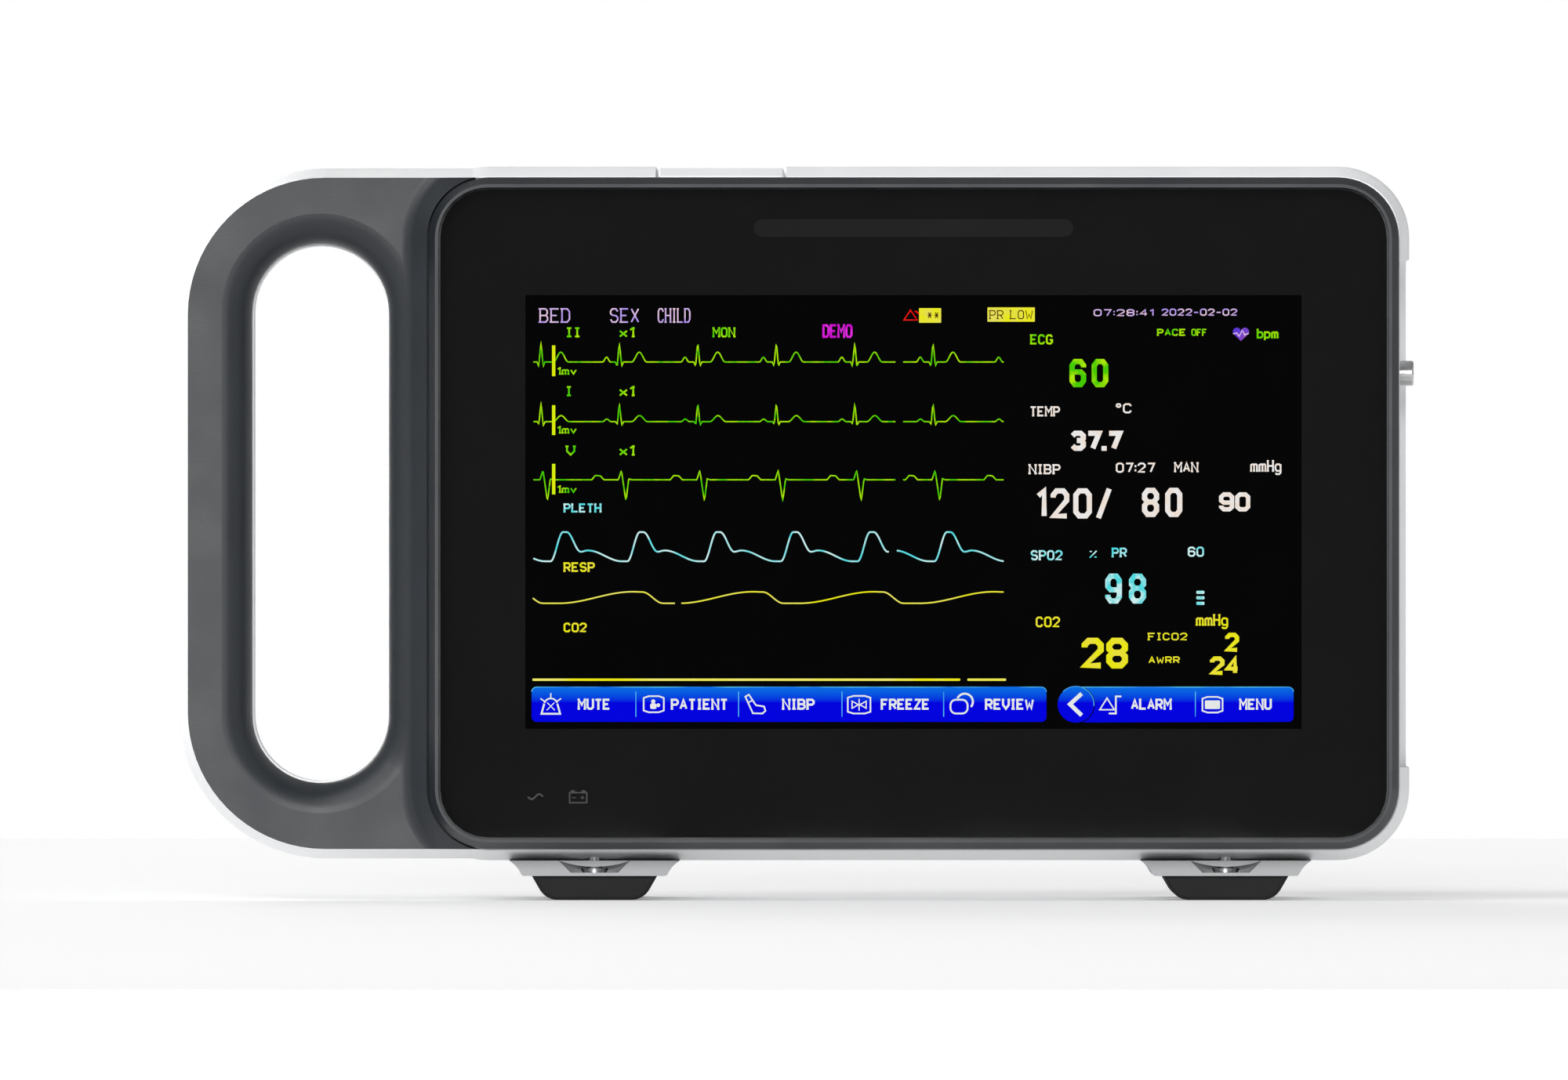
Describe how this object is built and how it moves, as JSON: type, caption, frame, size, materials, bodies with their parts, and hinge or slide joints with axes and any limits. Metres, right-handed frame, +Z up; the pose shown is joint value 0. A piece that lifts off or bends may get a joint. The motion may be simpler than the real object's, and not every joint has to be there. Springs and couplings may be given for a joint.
{
  "type": "patient monitor",
  "caption": "Transport patient monitor with a flush touch screen, a grip handle on one side, sockets on the other, rubber feet, a rear battery door and a power key.",
  "frame": {"origin": "on the table, under the middle of the monitor's overall length and depth", "axes": "+X to the right as the user sees the screen, +Y to the rear, +Z up"},
  "size_m": [0.2462, 0.096, 0.1461],
  "materials": {
    "casing_white": "fine matt texture",
    "charcoal_plastic": "fine spark-eroded texture",
    "bezel_plastic": "satin",
    "cover_glass": "polished, black printed border",
    "foam_tape": "matt",
    "lcd": "polished",
    "steel_plate": "satin",
    "aluminium": "satin",
    "clear_plastic": "clear",
    "circuit_board": "solder resist",
    "electronic_parts": "moulded",
    "screw_steel": "zinc plated",
    "silicone": "matt",
    "panel_grey": "fine matt texture",
    "socket_green": "satin",
    "socket_blue": "satin",
    "socket_yellow": "satin",
    "socket_black": "satin",
    "contact_gold": "gold plated",
    "nozzle_metal": "turned and plated",
    "foot_carrier": "fine matt texture",
    "foot_rubber": "matt",
    "battery_sleeve": "shrink sleeve",
    "spring_steel": "drawn wire"
  },
  "bodies": {
    "monitor": {"rear_shell": "casing_white", "front_housing": "charcoal_plastic", "front_bezel": "bezel_plastic", "cover_glass": "cover_glass", "glass_adhesive": "foam_tape", "lcd_panel": "lcd", "lcd_backlight": "steel_plate", "alarm_light_guide": "clear_plastic", "indicator_light_pipes": "clear_plastic", "led_boards": "circuit_board", "chassis_plate": "aluminium", "case_gasket": "silicone", "handle_core": "aluminium", "case_screws": "screw_steel", "main_board": "circuit_board", "main_board_components": "electronic_parts", "board_standoffs": "screw_steel", "board_screws": "screw_steel", "connector_board": "circuit_board", "connector_panel": "panel_grey", "ecg_socket": "socket_green", "spo2_socket": "socket_blue", "socket_contacts": "contact_gold", "co2_port": "socket_yellow", "temp_jacks": "socket_black", "nibp_cup": "socket_black", "nibp_nozzle": "nozzle_metal", "nibp_hose": "silicone", "nibp_pump": "aluminium", "nibp_pump_pads": "foot_rubber", "nibp_manifold": "socket_black", "nibp_valves": "steel_plate", "speaker": "electronic_parts", "io_board": "circuit_board", "port_panel": "panel_grey", "dc_inlet": "socket_black", "lan_port": "steel_plate", "usb_port": "steel_plate", "battery_door_pin": "screw_steel", "battery_bay": "charcoal_plastic", "battery_pack": "battery_sleeve", "battery_contacts": "contact_gold", "mount_plate": "aluminium", "mount_plate_screws": "screw_steel", "button_board": "circuit_board", "button_spring": "spring_steel", "foot_screws": "screw_steel", "foot_bracket_front_left": "foot_carrier", "foot_bracket_front_right": "foot_carrier", "foot_bracket_rear_left": "foot_carrier", "foot_bracket_rear_right": "foot_carrier", "rubber_foot_front_left": "foot_rubber", "rubber_foot_front_right": "foot_rubber", "rubber_foot_rear_left": "foot_rubber", "rubber_foot_rear_right": "foot_rubber"},
    "power_button": {"power_button": "casing_white", "switch_plunger": "electronic_parts"},
    "battery_door": {"battery_door": "casing_white"},
    "battery_door_lock": {"battery_door_lock": "screw_steel"}
  },
  "joints": [
    {"name": "power_button_press", "type": "slide", "parent": "monitor", "child": "power_button", "axis": [0, 0, -1], "range_m": [0, 0.0008], "stiffness_N_per_m": 1500, "springref_m": -0.0008, "deforming": ["button_spring"]},
    {"name": "battery_door_hinge", "type": "hinge", "parent": "monitor", "child": "battery_door", "pos_m": [-0.02985, 0.043, 0.0426], "axis": [0, 0, 1], "range_deg": [0, 90]},
    {"name": "battery_door_lock_turn", "type": "hinge", "parent": "battery_door", "child": "battery_door_lock", "pos_m": [0.06915, 0.044, 0.0426], "axis": [0, 1, 0], "range_deg": [0, 90]}
  ]
}
